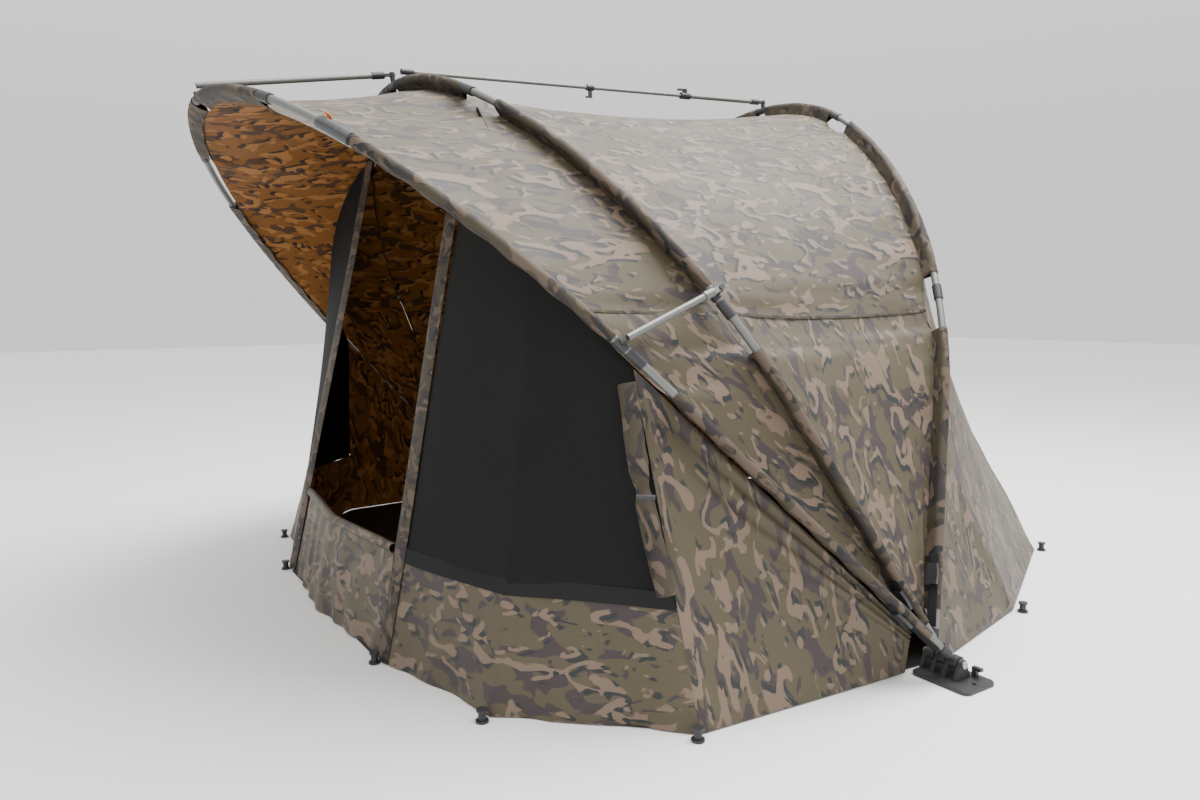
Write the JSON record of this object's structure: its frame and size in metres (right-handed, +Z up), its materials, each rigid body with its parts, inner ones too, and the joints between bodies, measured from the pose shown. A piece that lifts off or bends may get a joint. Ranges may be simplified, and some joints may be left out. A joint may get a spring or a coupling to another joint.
{
  "type": "folding camping shelter",
  "caption": "Folding shelter with three fanned tube arches on hub blocks, a patterned fabric skin, mesh front windows and an open doorway.",
  "frame": {"origin": "on the ground, midway between the two hub blocks, under the hinge line of the arches", "axes": "+Z up, -Y out through the doorway, +X to the side with the rolled window flap; the hinge line of the arches is parallel to X"},
  "size_m": [2.908, 2.9506, 1.7351],
  "materials": {
    "camo_cloth": "woven, matt, coated",
    "window_mesh": "fine open weave",
    "black_binding": "woven tape",
    "webbing": "ribbed webbing",
    "groundsheet": "coated, slightly glossy",
    "rib_tube": "satin grey anodised",
    "pin_steel": "plain",
    "touch_tape": "hook-and-loop",
    "orange_tab": "woven tape",
    "black_plastic": "moulded, satin"
  },
  "bodies": {
    "base": {"door_posts": "camo_cloth", "door_sill": "camo_cloth", "flap_toggle": "black_plastic", "front_skirt": "camo_cloth", "groundsheet": "groundsheet", "hub_block_left": "black_plastic", "hub_block_right": "black_plastic", "hub_pins": "pin_steel", "pegging_clips": "black_plastic", "rear_wall": "camo_cloth", "rolled_flap": "camo_cloth", "side_panels": "camo_cloth", "sill_roll": "camo_cloth", "window_hems": "black_binding", "window_meshes": "window_mesh"},
    "rear_rib": {"rear_canopy": "camo_cloth", "rear_crown_bracket": "black_plastic", "rear_rib_buckles": "black_plastic", "rear_rib_crown": "rib_tube", "rear_rib_feet": "black_plastic", "rear_rib_ferrules": "black_plastic", "rear_rib_legs": "rib_tube", "rear_rib_shoulders": "rib_tube", "rear_rib_sleeves": "camo_cloth", "rear_rib_straps": "webbing"},
    "mid_rib": {"front_canopy": "camo_cloth", "mid_crown_bracket": "black_plastic", "mid_rib_buckles": "black_plastic", "mid_rib_crown": "rib_tube", "mid_rib_feet": "black_plastic", "mid_rib_ferrules": "black_plastic", "mid_rib_legs": "rib_tube", "mid_rib_shoulders": "rib_tube", "mid_rib_sleeves": "camo_cloth", "mid_rib_straps": "webbing", "mid_side_connectors": "black_plastic"},
    "front_rib": {"front_crown_bracket": "black_plastic", "front_rib_buckles": "black_plastic", "front_rib_crown": "rib_tube", "front_rib_feet": "black_plastic", "front_rib_ferrules": "black_plastic", "front_rib_legs": "rib_tube", "front_rib_shoulders": "rib_tube", "front_rib_sleeves": "camo_cloth", "front_rib_straps": "webbing", "front_side_connectors": "black_plastic", "pull_tab": "orange_tab", "touch_tape_wrap": "touch_tape"},
    "rear_bar": {"rear_ridge_bar": "rib_tube", "rear_ridge_bar_end": "black_plastic", "cam_collar": "black_plastic"},
    "ridge_slider": {"ridge_slider": "rib_tube", "ridge_slider_tip": "black_plastic", "roof_hook": "black_plastic"},
    "cam_lever": {"cam_lever": "black_plastic"},
    "front_bar": {"front_ridge_bar": "rib_tube", "front_ridge_bar_end": "black_plastic"},
    "side_bar_right": {"side_bar_right": "rib_tube"},
    "side_bar_left": {"side_bar_left": "rib_tube"}
  },
  "joints": [
    {"name": "rear_rib_fold", "type": "hinge", "parent": "base", "child": "rear_rib", "pos_m": [0, 0, 0.047], "axis": [-1, 0, 0], "range_deg": [0, 62.7], "deforming": ["rear_wall", "side_panels", "front_skirt", "window_meshes", "window_hems", "door_posts", "door_sill", "sill_roll", "rolled_flap", "flap_toggle", "rear_rib_sleeves", "rear_rib_straps"]},
    {"name": "mid_rib_fold", "type": "hinge", "parent": "rear_rib", "child": "mid_rib", "pos_m": [0, 0, 0.047], "axis": [-1, 0, 0], "range_deg": [0, 43.1], "deforming": ["rear_canopy", "mid_rib_sleeves", "mid_rib_straps"]},
    {"name": "front_rib_fold", "type": "hinge", "parent": "mid_rib", "child": "front_rib", "pos_m": [0, 0, 0.047], "axis": [-1, 0, 0], "range_deg": [0, 7.1], "deforming": ["front_canopy", "front_rib_sleeves", "front_rib_straps"]},
    {"name": "rear_bar_swing", "type": "hinge", "parent": "rear_rib", "child": "rear_bar", "pos_m": [0, 0.64008, 1.72616], "axis": [0, 0.0671, -0.9977], "range_deg": [0, 100]},
    {"name": "ridge_slider_travel", "type": "slide", "parent": "rear_bar", "child": "ridge_slider", "axis": [0, 0.9982, 0.0592], "range_m": [0, 0.27]},
    {"name": "cam_lever_turn", "type": "hinge", "parent": "rear_bar", "child": "cam_lever", "pos_m": [0, 0.24378, 1.70265], "axis": [0, -0.0671, 0.9977], "range_deg": [0, 90]},
    {"name": "front_bar_swing", "type": "hinge", "parent": "mid_rib", "child": "front_bar", "pos_m": [0, -0.8907, 1.62304], "axis": [0, -0.1901, 0.9818], "range_deg": [0, 100]},
    {"name": "side_bar_right_swing", "type": "hinge", "parent": "mid_rib", "child": "side_bar_right", "pos_m": [1.09229, -0.51845, 0.96013], "axis": [-0.8831, 0.1192, -0.4538], "range_deg": [0, 95]},
    {"name": "side_bar_left_swing", "type": "hinge", "parent": "mid_rib", "child": "side_bar_left", "pos_m": [-1.09229, -0.51845, 0.96013], "axis": [-0.8831, -0.1192, 0.4538], "range_deg": [0, 95]}
  ],
  "couplings": [
    {"joint": "mid_rib_fold", "follows": "rear_rib_fold", "ratio": 0.6874},
    {"joint": "front_rib_fold", "follows": "rear_rib_fold", "ratio": 0.11324},
    {"joint": "rear_bar_swing", "follows": "rear_rib_fold", "ratio": 1.5949},
    {"joint": "ridge_slider_travel", "follows": "rear_rib_fold", "m_per_rad": 0.24673},
    {"joint": "front_bar_swing", "follows": "rear_rib_fold", "ratio": 1.5949},
    {"joint": "side_bar_right_swing", "follows": "rear_rib_fold", "ratio": 1.5152},
    {"joint": "side_bar_left_swing", "follows": "rear_rib_fold", "ratio": 1.5152}
  ]
}
